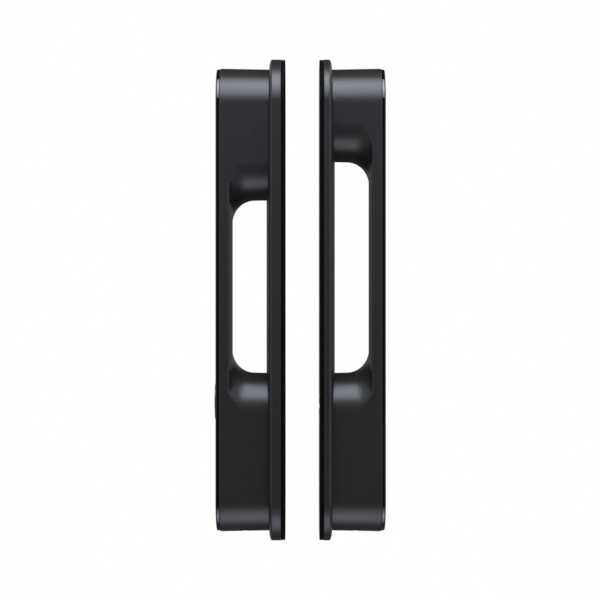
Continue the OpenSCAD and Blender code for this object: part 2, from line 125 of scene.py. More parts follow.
class LockSizes(bpy.types.PropertyGroup):
    """Sizes of the shells that the frame doesn't give."""

    crown_r: length("Land radius", "Radius of the flat land under the grip body", 34.3)
    crown_t: length("Band rise", "Rise of the sloped band around the grip body", 1.35)
    plate_edge: length("Plate edge", "Rounding of the plates' front edges", 1.8)
    recess_r: length("Recess radius", "Radius of the recess in the back of the plates", 27)
    back_r: length("Grip radius", "End radius of the grip body at the plate", 30.75)
    grip_edge: length("Grip edge", "Rounding of the grip body's front edges", 0.55)
    window_edge: length("Window edge", "Rounding of the finger windows' edges", 1.2)
    wall: length("Wall", "Wall of the casting around its pockets", 2.55)
    rear_wall: length("Rear wall", "Rear wall of the casting behind its pockets", 4)
    web: length("Web", "Web of the casting behind the fingers, at its middle", 2.5)
    web_side: length("Web side", "Thickness of the domed web at its sides", 0.4)
    window_d: length("Window depth", "Depth of the finger windows", 29.4)
    window_low: length("Window foot", "Lower end of both finger windows", -60.7)
    outer_window_top: length("Outer window top", "Upper end of the outer finger window", 82.9)
    inner_window_top: length("Inner window top", "Upper end of the inner finger window", 114.9)
    flare: length("Flare", "Radius from the window's ends into the grip bar, at its middle", 19)
    side_flare: length("Side flare", "Height of the flare at the sides", 4.5)
    side_length: length("Side flare length", "Length of the flare at the sides", 10)
    bar_dome: length("Bar dome", "Rise of the grip bar's back from its edges", 1.4)
    channel_w: length("Channel", "Half width of the channel in the front of the grip bar", 20)
    channel_d: length("Channel depth", "Depth of the channel in the grip bar", 4.5)
    glass_edge: length("Glass edge", "Rounding of the glass edges", 1.1)
    seam: length("Cover seam", "Gap between the inner glass and the battery cover", 0.3)
    numeral_h: length("Numeral height", "Height of the keypad's numerals", 7)
    steps: IntProperty(name="Steps", description="Steps round a full turn of the round ends",
                       default=96, min=24)


class LockColours(bpy.types.PropertyGroup):
    """Colours of the finishes, as sRGB hex values."""

    coat: StringProperty(name="Powder coat", description="Castings and plates", default="#1b1b1c")
    rubber: StringProperty(name="Rubber", description="Gaskets", default="#020202")
    glass: StringProperty(name="Glass", description="Front panels", default="#040405")
    gloss: StringProperty(name="Gloss plastic", description="Cap, cover and thumbturn", default="#09090b")
    ink: StringProperty(name="Ink", description="Numerals of the keypad", default="#c3c8cd")
    anodised: StringProperty(name="Anodised aluminium", description="Fingerprint bezel", default="#3a3b40")


class StageSettings(bpy.types.PropertyGroup):
    """Floor, light and camera."""

    camera_d: length("Camera distance", "From the camera to the middle of the lock", 1405)
    camera_x: length("Camera offset", "Place of the camera along the door's thickness", 12.24)
    view_w: length("View width", "Width that the camera takes in at the lock", 500)
    floor_z: length("Floor", "Height of the floor", -750)
    floor_gloss: FloatProperty(name="Floor in gloss", description="Share of the floor that gloss shows",
                               default=0.15)
    key: FloatProperty(name="Key light", description="Power of the soft box overhead",
                       default=2.75, unit="POWER")
    low: FloatProperty(name="Low light", description="Power of the soft box below",
                       default=0.58, unit="POWER")
    light: StringProperty(name="Light colour", description="Both soft boxes", default="#f8faff")
    left: FloatProperty(name="Left wall", description="Strength of the room's left wall", default=1.15)
    right: FloatProperty(name="Right wall", description="Strength of the room's right wall", default=1.65)
    front: FloatProperty(name="Camera side", description="Strength of the room behind the camera",
                         default=0.08)
    back: FloatProperty(name="Backdrop side", description="Strength of the room behind the lock",
                        default=0.02)
    foot: FloatProperty(name="Foot", description="Share of the room's light that is left below", default=0.4)
    gloss: FloatProperty(name="Backdrop in gloss", description="Share of the white backdrop in gloss",
                         default=0.01)


# ---------- modelling helpers ----------


def new_point(name, place):
    """A mesh of one vertex at place, in edit mode, with everything else deselected."""
    bpy.ops.object.select_all(action="DESELECT")
    bpy.ops.mesh.primitive_plane_add(size=mm(1))
    piece = bpy.context.object
    piece.name = piece.data.name = name
    bpy.ops.object.mode_set(mode="EDIT")
    bpy.ops.mesh.merge(type="CENTER")
    bpy.ops.transform.translate(value=place)
    return piece


def rounded(corners, steps=4):
    """Points of an outline whose corners, each (depth, radius, rounding), are turned into arcs."""
    points = [Vector(corners[0][:2])]
    for before, (depth, radius, rounding), after in zip(corners, corners[1:], corners[2:]):
        corner = Vector((depth, radius))
        if rounding == 0:
            points.append(corner)
            continue
        back = (Vector(before[:2]) - corner).normalized()
        ahead = (Vector(after[:2]) - corner).normalized()
        half = back.angle(ahead) / 2
        middle = corner + (back + ahead).normalized() * rounding / math.sin(half)
        arm = corner + back * rounding / math.tan(half) - middle
        turn = arm.angle_signed(corner + ahead * rounding / math.tan(half) - middle)
        points += [middle + Matrix.Rotation(-turn * k / steps, 2) @ arm for k in range(steps + 1)]
    points.append(Vector(corners[-1][:2]))
    return points


def spun(name, outline, centre_z, steps):
    """Spins an outline of (depth, radius) points about the depth axis at centre_z, and stays in edit mode."""
    tilt = math.pi / steps  # half a step, so that no vertex lies level with the axis
    ring = [Vector((depth, radius * math.sin(tilt), centre_z + radius * math.cos(tilt)))
            for depth, radius in outline]
    piece = new_point(name, ring[0])
    for start, end in zip(ring, ring[1:]):
        bpy.ops.mesh.extrude_region_move(TRANSFORM_OT_translate={"value": end - start})
    bpy.ops.mesh.select_all(action="SELECT")
    bpy.ops.mesh.spin(steps=steps, angle=math.tau, center=(0, 0, centre_z), axis=(1, 0, 0))
    bpy.ops.mesh.select_all(action="SELECT")
    bpy.ops.mesh.remove_doubles(threshold=mm(0.001))
    return piece


def pick(chosen):
    """Selects the vertices of the mesh in edit mode for which chosen(place) is true."""
    bpy.ops.mesh.select_all(action="DESELECT")
    mesh = bmesh.from_edit_mesh(bpy.context.object.data)
    for vertex in mesh.verts:
        vertex.select = chosen(vertex.co)
    mesh.select_flush(True)
    bmesh.update_edit_mesh(bpy.context.object.data)


def close_mesh():
    """Fills what is open, turns the faces outwards and leaves edit mode."""
    bpy.ops.mesh.select_all(action="SELECT")
    bpy.ops.mesh.fill_holes(sides=0)
    bpy.ops.mesh.normals_make_consistent(inside=False)
    bpy.ops.object.mode_set(mode="OBJECT")
    bpy.ops.object.transform_apply(location=True, rotation=True, scale=True)


def disc(name, outline, centre_z, steps):
    """Turned piece: an outline of (depth, radius) points spun about the depth axis, and closed."""
    piece = spun(name, outline, centre_z, steps)
    close_mesh()
    return piece


def slab(name, outline, low_z, high_z, steps):
    """Round-ended upright piece: a turned piece whose upper half is drawn out from low_z to high_z."""
    piece = spun(name, outline, low_z, steps)
    pick(lambda place: place.z > low_z)
    bpy.ops.transform.translate(value=(0, 0, high_z - low_z))
    close_mesh()
    return piece


def rod(name, start, end, radius, y=0.0, z=0.0, sides=48):
    """Round bar along the depth axis."""
    bpy.ops.object.select_all(action="DESELECT")
    bpy.ops.mesh.primitive_cylinder_add(vertices=sides, radius=radius, depth=end - start,
                                        location=((start + end) / 2, y, z), rotation=(0, math.pi / 2, 0))
    bpy.ops.object.transform_apply(location=True, rotation=True, scale=True)
    bpy.context.object.name = name
    return bpy.context.object


def block(name, low, high):
    """Box between its lowest and highest corners."""
    low, high = Vector(low), Vector(high)
    bpy.ops.object.select_all(action="DESELECT")
    bpy.ops.mesh.primitive_cube_add(size=1, location=(low + high) / 2, scale=high - low)
    bpy.ops.object.transform_apply(location=True, rotation=True, scale=True)
    bpy.context.object.name = name
    return bpy.context.object


def only(piece):
    """Makes the piece the active object and the only one selected."""
    bpy.ops.object.select_all(action="DESELECT")
    piece.select_set(True)
    bpy.context.view_layer.objects.active = piece


def apply_modifier(piece, kind, **settings):
    """Adds a modifier with its settings and applies it."""
    only(piece)
    modifier = piece.modifiers.new(kind, kind)
    for name, value in settings.items():
        setattr(modifier, name, value)
    bpy.ops.object.modifier_apply(modifier=modifier.name)


def cut(piece, *cutters):
    """Takes the cutters' forms out of the piece, one after the other."""
    for cutter in cutters:
        apply_modifier(piece, "BOOLEAN", operation="DIFFERENCE", solver="EXACT", object=cutter)
        bpy.data.objects.remove(cutter)


def joined(piece, *others):
    """Joins the others into the piece."""
    only(piece)
    for other in others:
        other.select_set(True)
    bpy.ops.object.join()
    return piece


def bevel_picked(chosen, width, steps):
    """Rounds the edges, of the mesh in edit mode, for which chosen(edge) is true."""
    bpy.ops.mesh.select_all(action="DESELECT")
    mesh = bmesh.from_edit_mesh(bpy.context.object.data)
    mesh.normal_update()
    for edge in mesh.edges:
        edge.select = edge.is_manifold and chosen(edge)
    bmesh.update_edit_mesh(bpy.context.object.data)
    bpy.ops.mesh.bevel(offset=width, segments=steps, affect="EDGES", clamp_overlap=False)


def turned_edge(edge, least=math.radians(12)):
    """True for an outer corner sharper than least."""
    return edge.calc_face_angle_signed() > least


SLOT_OF = {row["node"]: row["material_slot"] for row in frame["record"]["subparts"]}
SMOOTH_ANGLE = math.radians(40)


def settle(piece, node):
    """Sets a shell in place on its unit, with its finish, instead of its CAD node."""
    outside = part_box(node)[1].x < DOOR_GAP / 2
    piece.data.transform(UNIT_PLACE[OUTER if outside else INNER])
    if outside:
        piece.data.flip_normals()
    only(piece)
    bpy.ops.object.shade_smooth_by_angle(angle=SMOOTH_ANGLE)
    apply_modifier(piece, "WEIGHTED_NORMAL", keep_sharp=True)
    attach(piece, frame["nodes"][node]["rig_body"])
    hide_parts(node)
    finish_piece(piece, SLOT_OF[node])


def finish_piece(piece, slot, material=None):
    """Gives a piece one material: the named slot's own finish, unless another is given."""
    piece.data.materials.clear()
    piece.data.materials.append(material or FINISHES[slot]())


# ---------- finishes ----------


def linear(hex_colour):
    """An sRGB hex colour as linear RGBA."""
    channels = [int(hex_colour[i:i + 2], 16) / 255 for i in (1, 3, 5)]
    return [c / 12.92 if c <= 0.04045 else ((c + 0.055) / 1.055) ** 2.4 for c in channels] + [1.0]


def add(tree, kind, inputs=(), **settings):
    """Adds a node, sets it up, and fills or links its inputs, given by name or in their order."""
    node = tree.nodes.new(kind)
    for name, value in settings.items():
        setattr(node, name, value)
    if not isinstance(inputs, dict):
        inputs = dict(enumerate(inputs))
    for socket, value in inputs.items():
        if isinstance(value, bpy.types.NodeSocket):
            tree.links.new(value, node.inputs[socket])
        else:
            node.inputs[socket].default_value = value
    return node


def surface(name, colour, **sockets):
    """A material with one shader set to plain values. Returns it and its shader."""
    material = bpy.data.materials.new(name)
    material.use_nodes = True
    shader = material.node_tree.nodes["Principled BSDF"]
    shader.inputs["Base Color"].default_value = linear(colour)
    for socket, value in sockets.items():
        shader.inputs[socket.replace("_", " ")].default_value = value
    return material, shader


NOISE_RANGE = (0.35, 0.65)  # most of a noise's values lie between these


def grained(name, colours, roughness, grain, detail=2.0, height=0.0, **sockets):
    """A material whose noise mixes two colours and varies the roughness between two values.

    The noise has spots of about the grain's size on the piece, and stands proud of it by the height.
    """
    material, shader = surface(name, colours[0], **sockets)
    tree = material.node_tree
    place = add(tree, "ShaderNodeTexCoord").outputs["Object"]
    noise = add(tree, "ShaderNodeTexNoise",
                {"Vector": place, "Scale": 1 / grain, "Detail": detail}).outputs["Fac"]
    share = add(tree, "ShaderNodeMapRange", (noise, *NOISE_RANGE)).outputs["Result"]
    mix = add(tree, "ShaderNodeMix", {0: share, 6: linear(colours[0]), 7: linear(colours[1])},
              data_type="RGBA")
    tree.links.new(mix.outputs[2], shader.inputs["Base Color"])
    rough = add(tree, "ShaderNodeMapRange", (noise, *NOISE_RANGE, *roughness))
    tree.links.new(rough.outputs["Result"], shader.inputs["Roughness"])
    if height:
        bump = add(tree, "ShaderNodeBump", {"Height": noise, "Distance": height})
        tree.links.new(bump.outputs["Normal"], shader.inputs["Normal"])
    return material


# Each finish is made once, for the first piece that needs it, and then shared.


@functools.cache
def powder_coated_zinc():
    """Zinc casting under powder coat: matt dark grey with a fine even grain that breaks up highlights."""
    # A real grain is about 0.3 mm across; it is drawn at 0.9 mm so that it shows.
    coat = bpy.context.scene.lock_colours.coat
    return grained("powder_coated_zinc", (coat, "#202021"), roughness=(0.32, 0.4), grain=mm(0.9), detail=3,
                   height=mm(0.012), IOR=1.5, Specular_IOR_Level=0.39, Specular_Tint=linear("#eff3ff"))


@functools.cache
def gasket_rubber():
    """Moulded EPDM rubber: matt black, a little dusty, with a soft uneven skin."""
    rubber = bpy.context.scene.lock_colours.rubber
    return grained("gasket_rubber", (rubber, "#030304"), roughness=(0.68, 0.8), grain=mm(1.5),
                   height=mm(0.02), IOR=1.5, Specular_IOR_Level=0.06)


@functools.cache
def black_glass():
    """Toughened glass printed black on the back: deep black with sharp reflections and faint wipe marks."""
    glass = bpy.context.scene.lock_colours.glass
    return grained("black_glass", (glass, "#050507"), roughness=(0.03, 0.07), grain=mm(22), detail=3,
                   IOR=1.52, Specular_IOR_Level=0.43)


@functools.cache
def black_gloss_plastic():
    """High-gloss moulded ABS: black, slightly softer reflections than glass, with a trace of orange peel."""
    gloss = bpy.context.scene.lock_colours.gloss
    return grained("black_gloss_plastic", (gloss, "#0b0b0d"), roughness=(0.07, 0.12), grain=mm(4),
                   height=mm(0.004), IOR=1.54)


@functools.cache
def black_moulded_plastic():
    """Satin moulded ABS: charcoal black with a spark-eroded texture."""
    # The real texture is about 0.1 mm across; it is drawn at 0.8 mm so that it shows.
    return grained("black_moulded_plastic", ("#19191b", "#1f1f21"), roughness=(0.45, 0.58), grain=mm(0.8),
                   height=mm(0.015), IOR=1.54)


@functools.cache
def diffuser_plastic():
    """Milky polycarbonate: white, satin, a little light passes into it."""
    return grained("diffuser_plastic", ("#dce0e3", "#e6e9eb"), roughness=(0.3, 0.4), grain=mm(3),
                   IOR=1.58, Subsurface_Weight=0.2)


@functools.cache
def circuit_board():
    """Glass-fibre board under green solder mask: dark green, glossy, with the weave just showing."""
    # A real weave is about 0.5 mm across; it is drawn at 1.2 mm so that it shows.
    return grained("circuit_board", ("#0f2e1b", "#173c26"), roughness=(0.25, 0.4), grain=mm(1.2),
                   height=mm(0.01), IOR=1.55)


def turned_metal(name, colours, roughness):
    """Machined metal: clear reflections broken by fine tool marks."""
    # Real tool marks are about 0.1 mm apart; they are drawn at 0.7 mm so that they show.
    return grained(name, colours, roughness, grain=mm(0.7), detail=4, height=mm(0.004), Metallic=1.0)


@functools.cache
def dark_anodised_aluminium():
    """Turned aluminium, anodised dark grey: satin, with soft metallic reflections."""
    anodised = bpy.context.scene.lock_colours.anodised
    return turned_metal("dark_anodised_aluminium", (anodised, "#44454b"), roughness=(0.24, 0.32))


@functools.cache
def nickel_plated_steel():
    """Pressed steel with bright nickel plating."""
    return turned_metal("nickel_plated_steel", ("#c9c8c4", "#bdbcb8"), roughness=(0.14, 0.22))


@functools.cache
def brass():
    """Machined brass, slightly tarnished."""
    return turned_metal("brass", ("#c9a85c", "#b8974e"), roughness=(0.2, 0.34))


@functools.cache
def zinc_plated_steel():
    """Steel with bright passivated zinc: pale grey with a mottled sheen."""
    return turned_metal("zinc_plated_steel", ("#b4b7bc", "#a3a7ae"), roughness=(0.26, 0.4))


@functools.cache
def white_acetal():
    """Moulded acetal: opaque natural white with a waxy surface."""
    return grained("white_acetal", ("#d8d6cc", "#e2e0d8"), roughness=(0.35, 0.45), grain=mm(2), IOR=1.48)


@functools.cache
def printed_ink():
    """Screen-printed ink: light grey, matt, slightly uneven in tone."""
    # The marks of a real screen are about 0.1 mm apart; they are drawn at 0.6 mm so that they show.
    ink = bpy.context.scene.lock_colours.ink
    return grained("printed_ink", (ink, "#b8bdc3"), roughness=(0.45, 0.6), grain=mm(0.6), IOR=1.5)


FINISHES = {make.__name__: make for make in (
    powder_coated_zinc, gasket_rubber, black_glass, black_gloss_plastic, black_moulded_plastic,
    diffuser_plastic, circuit_board, dark_anodised_aluminium, nickel_plated_steel, brass,
    zinc_plated_steel, white_acetal,
)}


# ---------- gaskets and plates ----------


class LOCK_OT_gaskets(bpy.types.Operator):
    """Rubber pad behind the outer plate, and the ring behind the inner one"""

    bl_idname = "lock.gaskets"
    bl_label = "Gaskets"

    def execute(self, context):
        sizes = context.scene.lock_sizes
        face, back = depths("outer_gasket")
        edge_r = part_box("outer_gasket")[1].y
        lip, core_r = mm(0.5), mm(20)
        pad = slab("outer_gasket_pad",
                   rounded([(face, core_r, 0), (face, edge_r, lip), (back, edge_r, lip), (back, core_r, 0)]),
                   -END_Z, END_Z, sizes.steps)
        post_r, play, spindle_r, gap = mm(5), mm(0.3), mm(8), mm(2)
        low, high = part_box("threaded_posts")
        for y in (low.y + post_r, high.y - post_r):
            for z in (low.z + post_r, high.z - post_r):
                cut(pad, rod("post_hole", -back, 2 * back, post_r + play, y, z))
        cut(pad, rod("spindle_hole", -back, 2 * back, spindle_r, 0, AXIS_Z))
        low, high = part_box("outer_connector")
        cut(pad, block("harness_hole", (-back, low.y - gap, low.z - gap),
                       (2 * back, high.y + gap, high.z + gap)))
        settle(pad, "outer_gasket")

        ring = slab("inner_gasket_ring",
                    rounded([(face, sizes.recess_r, 0), (face, edge_r, lip), (back, edge_r, lip),
                             (back, sizes.recess_r, 0), (face, sizes.recess_r, 0)]),
                    -END_Z, END_Z, sizes.steps)
        settle(ring, "inner_gasket")
        return {"FINISHED"}


class LOCK_OT_plates(bpy.types.Operator):
    """Cast plates with a sloped band around the grip body"""

    bl_idname = "lock.plates"
    bl_label = "Plates"

    def execute(self, context):
        for node, filled_by in (("outer_plate", "threaded_posts"), ("inner_plate", "mounting_plate")):
            settle(self.plate(context.scene.lock_sizes, node, depths(filled_by)[1]), node)
        return {"FINISHED"}

    def plate(self, sizes, node, recess_x):
        """A plate with its recess, drawn as one outline."""
        back, land = depths(node)
        shoulder = land - sizes.crown_t
        back_edge, blend = mm(0.3), mm(8)
        outline = rounded([
            (recess_x, CORE_R, 0), (recess_x, sizes.recess_r, 0), (back, sizes.recess_r, 0),
            (back, PLATE_R, back_edge), (shoulder, PLATE_R, sizes.plate_edge),
            (land, sizes.crown_r, blend), (land, CORE_R, 0),
        ], steps=6)
        return slab(node + "_casting", outline, -END_Z, END_Z, sizes.steps)


# ---------- grip bodies ----------


ROW_STEPS = 15  # from the middle of a row to its end, and along the flare
SHARES = [k / ROW_STEPS for k in range(-ROW_STEPS, ROW_STEPS + 1)]
DOME_SHARE = 0.64  # part of the bar's dome that stands into the window; the rest is sunk at the sides


def half_width(sizes, x):
    """Half width of the drafted body at depth x."""
    return sizes.back_r + (FRONT_R - sizes.back_r) * x / BODY_D


class WindowEnd:
    """Surface that closes a finger window, as rows of points (depth, radius, angle from upright)."""

    def __init__(self, sizes):
        self.sizes = sizes
        self.bar_x = sizes.web + sizes.window_d
        self.bend_x = self.bar_x - sizes.flare

    def radius(self, x, turn):
        """The body's half width, and the flare, which is high in the middle and low at the sides."""
        sizes = self.sizes
        height = sizes.side_flare + (sizes.flare - sizes.side_flare) * math.cos(turn)**4
        reach = sizes.side_length + (sizes.flare - sizes.side_length) * math.cos(turn)
        run = min(max((x - self.bar_x) / reach + 1, 0), 1)
        return half_width(sizes, x) + height * (1 - math.sqrt(1 - run**2))

    def last_turn(self, x):
        """Angle at which the row at depth x meets the body's side."""
        if x <= self.bar_x - self.sizes.side_length:
            return math.pi / 2
        low, high = 0, math.pi / 2
        for _ in range(40):  # each pass halves the range
            middle = (low + high) / 2
            if self.radius(x, middle) * math.sin(middle) < half_width(self.sizes, x):
                low = middle
            else:
                high = middle
        return low

    def row(self, x):
        """Points at depth x, drawn out towards the domed back of the grip bar."""
        last = self.last_turn(x)
        pull = self.sizes.bar_dome * max(x - self.bend_x, 0) / self.sizes.flare
        for turn in (share * last for share in SHARES):
            radius = self.radius(x, turn)
            across = radius * math.sin(turn) / half_width(self.sizes, x)
            yield x - pull * (DOME_SHARE - across**2), radius, turn

    def web_row(self):
        """Points along the edge of the domed web."""
        web, web_side = self.sizes.web, self.sizes.web_side
        for turn in (share * math.pi / 2 for share in SHARES):
            x = web - (web - web_side) * math.sin(turn)**2
            yield x, half_width(self.sizes, x), turn

    def rows(self):
        """Rows from the web to the grip bar, in even turns along the flare."""
        turns = [math.radians(90 * k / ROW_STEPS) for k in range(ROW_STEPS + 1)]
        bend = [self.bend_x + self.sizes.flare * math.sin(turn) for turn in turns]
        middle = (self.sizes.web + self.bend_x) / 2
        return [self.web_row(), *(self.row(x) for x in (middle, *bend))]


class LOCK_OT_grip_bodies(bpy.types.Operator):
    """Deep round-ended castings with a finger window that flares into the grip bar"""

    bl_idname = "lock.grip_bodies"
    bl_label = "Grip bodies"

    def execute(self, context):
        sizes = context.scene.lock_sizes
        window_tops = {"outer_body": sizes.outer_window_top, "inner_body": sizes.inner_window_top}
        for node, window_top in window_tops.items():
            centres = sizes.window_low - sizes.back_r, window_top + sizes.back_r
            casting = self.casting(sizes, node, centres)
            self.hollow(casting, sizes, centres)
            self.open_port(casting, node.replace("body", "usb_port"), node)
            casting.data.transform(Matrix.Translation((depths(node)[0], 0, 0)))
            settle(casting, node)
        return {"FINISHED"}

    def casting(self, sizes, node, centres):
        """The outer skin, laid out as rows of vertices, with the window's round ends about the two centres.

        The flare sinks into the body's sides, where its crease fades out, and no cut leaves that clean. So
        the window's ends have one row of vertices for each depth.
        """
        window = WindowEnd(sizes)
        mesh = bmesh.new()

        def arc(points, centre, way):
            """Vertices of one round end, from the -Y side to the +Y side."""
            return [mesh.verts.new((x, radius * math.sin(turn), centre + way * radius * math.cos(turn)))
                    for x, radius, turn in points]

        def outer_arc(x, centre, way):
            """Vertices of the body's own round end at depth x."""
            return arc([(x, half_width(sizes, x), share * math.pi / 2) for share in SHARES], centre, way)

        def strip(first, second):
            """Faces between two rows of vertices."""
            for a, b, c, d in zip(first, first[1:], second[1:], second):
                mesh.faces.new((a, b, c, d))

        ends = {}
        for centre, way in zip(centres, (1, -1)):
            ends[way] = [arc(row, centre, way) for row in window.rows()]
            for first, second in zip(ends[way], ends[way][1:]):
                strip(first, second)
        for row in (0, -1):  # the front of the web and the back of the grip bar
            strip(ends[1][row], ends[-1][row])

        foot = [outer_arc(x, -END_Z, -1) for x in (0, BODY_D)]
        top = [outer_arc(x, END_Z, 1) for x in (0, BODY_D)]
        strip(*foot)
        strip(*top)
        corners = {}
        for side in (0, -1):
            for way, outer in ((1, foot), (-1, top)):  # the sides of the two blocks
                inner = [row[side] for row in ends[way]]
                back = mesh.verts.new((0, outer[0][side].co.y, inner[0].co.z))
                front = mesh.verts.new((BODY_D, outer[1][side].co.y, inner[-1].co.z))
                corners[side, way] = back, front
                mesh.faces.new((outer[0][side], back, *inner, front, outer[1][side]))
            for k, row in ((0, 0), (1, -1)):  # the sides of the web and of the grip bar
                mesh.faces.new((corners[side, 1][k], corners[side, -1][k],
                                ends[-1][row][side], ends[1][row][side]))
        for k in (0, 1):  # the back and the front
            mesh.faces.new((*foot[k], corners[-1, 1][k], corners[-1, -1][k], *reversed(top[k]),
                            corners[0, -1][k], corners[0, 1][k]))
        bmesh.ops.recalc_face_normals(mesh, faces=mesh.faces)

        data = bpy.data.meshes.new(node + "_casting")
        mesh.to_mesh(data)
        mesh.free()
        piece = bpy.data.objects.new(data.name, data)
        bpy.context.scene.collection.objects.link(piece)
        self.round_edges(piece, sizes, window.bar_x)
        return piece

    def round_edges(self, piece, sizes, bar_x):
        """Rounds the casting's front edges, the window's crease and the edges of the web."""
        def within(low, high):
            """Chooses the outer corners that lie between two depths."""
            return lambda edge: turned_edge(edge) and all(low < v.co.x < high for v in edge.verts)

        past_web, web_edge = sizes.web + mm(1), sizes.web_side * 0.7
        only(piece)
        bpy.ops.object.mode_set(mode="EDIT")
        bevel_picked(within(BODY_D - NEAR, BODY_D + NEAR), sizes.grip_edge, 3)
        bevel_picked(within(past_web, bar_x + sizes.bar_dome), sizes.window_edge, 4)
        bevel_picked(within(NEAR, sizes.web_side + NEAR), web_edge, 3)
        bpy.ops.object.mode_set(mode="OBJECT")

    def hollow(self, casting, sizes, centres):
        """Opens the pockets in both blocks and the channel along the grip bar, from the front."""
        low_z, high_z = centres
        pocket_r = sizes.back_r - sizes.wall
        out = BODY_D + mm(2)
        outline = [(sizes.rear_wall, pocket_r / 2), (sizes.rear_wall, pocket_r),
                   (out, pocket_r), (out, pocket_r / 2)]
        cut(casting,
            slab("lower_pocket", outline, -END_Z, low_z, sizes.steps),
            slab("upper_pocket", outline, high_z, END_Z, sizes.steps),
            block("channel", (BODY_D - sizes.channel_d, -sizes.channel_w, low_z),
                  (out, sizes.channel_w, high_z)))

    def open_port(self, casting, port, node):
        """Opens the power port in the lower end, behind a wider notch for the plug."""
        start, end = depths(port)
        middle = (start + end) / 2 - depths(node)[0]
        port_r, port_half_w, notch_half_w, port_h = mm(1.9), mm(4.5), mm(9), mm(7.3)
        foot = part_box(port)[0].z
        for half_w, top in ((port_half_w, foot + port_h), (notch_half_w, foot)):
            bpy.ops.object.select_all(action="DESELECT")
            bpy.ops.mesh.primitive_cylinder_add(vertices=32, radius=port_r, depth=2 * port_h,
                                                location=(middle, 0, top - port_h))
            bpy.ops.object.transform_apply(location=True, rotation=True, scale=True)
            slot = bpy.context.object
            bpy.ops.object.mode_set(mode="EDIT")
            for way in (-1, 1):
                pick(lambda place: place.y * way > NEAR)
                bpy.ops.transform.translate(value=(0, way * (half_w - port_r), 0))
            bpy.ops.object.mode_set(mode="OBJECT")
            cut(casting, slot)


# ---------- front panels ----------


class LOCK_OT_front_panels(bpy.types.Operator):
    """Black glass on both grips, and the battery cover below the inner one"""

    bl_idname = "lock.front_panels"
    bl_label = "Front panels"

    def execute(self, context):
        sizes = context.scene.lock_sizes
        start, end = depths("outer_glass")
        outer = self.panel(sizes, "outer_cover_glass", start, end)
        ring_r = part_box("fingerprint_ring")[1].y + FIT
        well_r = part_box("key_well")[1].y + FIT
        cut(outer, rod("reader_hole", start - MARGIN, end + MARGIN, ring_r, 0, FINGER_Z, sizes.steps),
            rod("key_hole", start - MARGIN, end + MARGIN, well_r, 0, AXIS_Z, sizes.steps))
        settle(outer, "outer_glass")

        cover_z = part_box("battery_cover")[1].z
        start, end = depths("inner_glass")
        inner = self.panel(sizes, "inner_cover_glass", start, end)
        play = mm(0.15)
        turn_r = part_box("thumbturn")[1].y + play
        cut(inner, rod("turn_hole", start - MARGIN, end + MARGIN, turn_r, 0, AXIS_Z, sizes.steps))
        self.trim(inner, cover_z + sizes.seam, 1)
        settle(inner, "inner_glass")

        proud = mm(0.05)  # the cover stands this far out from the glass
        cover = self.panel(sizes, "battery_cover_panel", start + proud, end + proud)
        self.trim(cover, cover_z, -1)
        settle(joined(cover, *self.tabs(start + proud)), "battery_cover")
        return {"FINISHED"}

    def panel(self, sizes, name, start, end):
        """A full-height panel with its polished edge."""
        back_edge = mm(0.3)
        outline = rounded([(start, CORE_R, 0), (start, GLASS_R, back_edge), (end, GLASS_R, sizes.glass_edge),
                           (end, CORE_R, 0)], steps=6)
        return slab(name, outline, -END_Z, END_Z, sizes.steps)

    def trim(self, panel, height, side):
        """Keeps what lies above (side 1) or below (side -1) the given height, and closes the cut."""
        only(panel)
        bpy.ops.object.mode_set(mode="EDIT")
        bpy.ops.mesh.select_all(action="SELECT")
        bpy.ops.mesh.bisect(plane_co=(0, 0, height), plane_no=(0, 0, -side), use_fill=True, clear_outer=True)
        bpy.ops.mesh.select_all(action="SELECT")
        bpy.ops.mesh.normals_make_consistent(inside=False)
        cut_edge = mm(0.25)
        bevel_picked(lambda edge: turned_edge(edge, math.radians(60))
                     and all(abs(v.co.z - height) < NEAR for v in edge.verts), cut_edge, 2)
        bpy.ops.object.mode_set(mode="OBJECT")

    def tabs(self, start):
        """The four hooks behind the cover, each a foot with a flange, which bite into its back."""
        foot_t, foot_w, tab_y = mm(2), mm(4), mm(23.8)
        reach, height, bite = mm(4.2), mm(8), mm(0.1)
        for z in (mm(-151), mm(-121)):
            for side in (-1, 1):
                near, far = sorted((side * tab_y, side * (tab_y + foot_w)))
                low, high = sorted((side * (tab_y + foot_t), side * (tab_y + foot_w + MARGIN)))
                hook = block("tab", (start - reach, near, z), (start + bite, far, z + height))
                cut(hook, block("relief", (start - reach + foot_t, low, z - MARGIN),
                                (start + MARGIN, high, z + height + MARGIN)))
                yield hook


# ---------- keypad, reader, cap and thumbturn ----------


class LOCK_OT_numerals(bpy.types.Operator):
    """Numerals of the touch keypad, printed on the outer glass"""

    bl_idname = "lock.numerals"
    bl_label = "Numerals"

    def execute(self, context):
        sizes = context.scene.lock_sizes
        pitch_y, pitch_z, ink_t = mm(15), mm(16), mm(0.03)
        font_size = sizes.numeral_h * 1.4  # a numeral fills about 0.7 of the font's size
        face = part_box("outer_glass")[0].x
        marks = []
        for row, legends in enumerate(("123", "456", "789", "*0#")):
            for column, legend in enumerate(legends):
                bpy.ops.object.select_all(action="DESELECT")
                place = (face, (1 - column) * pitch_y, KEYPAD_Z + (1.5 - row) * pitch_z)
                bpy.ops.object.text_add(location=place, rotation=(math.pi / 2, 0, -math.pi / 2))
                text = bpy.context.object.data
                text.body = legend
                text.size = font_size
                text.extrude = ink_t
                text.align_x = "CENTER"
                text.align_y = "CENTER"
                bpy.ops.object.convert(target="MESH")
                bpy.ops.object.transform_apply(location=True, rotation=True, scale=True)
                marks.append(bpy.context.object)
        numerals = joined(*marks)
        numerals.name = numerals.data.name = "keypad_numerals"
        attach(numerals, OUTER)
        finish_piece(numerals, "diffuser_plastic", printed_ink())
        return {"FINISHED"}


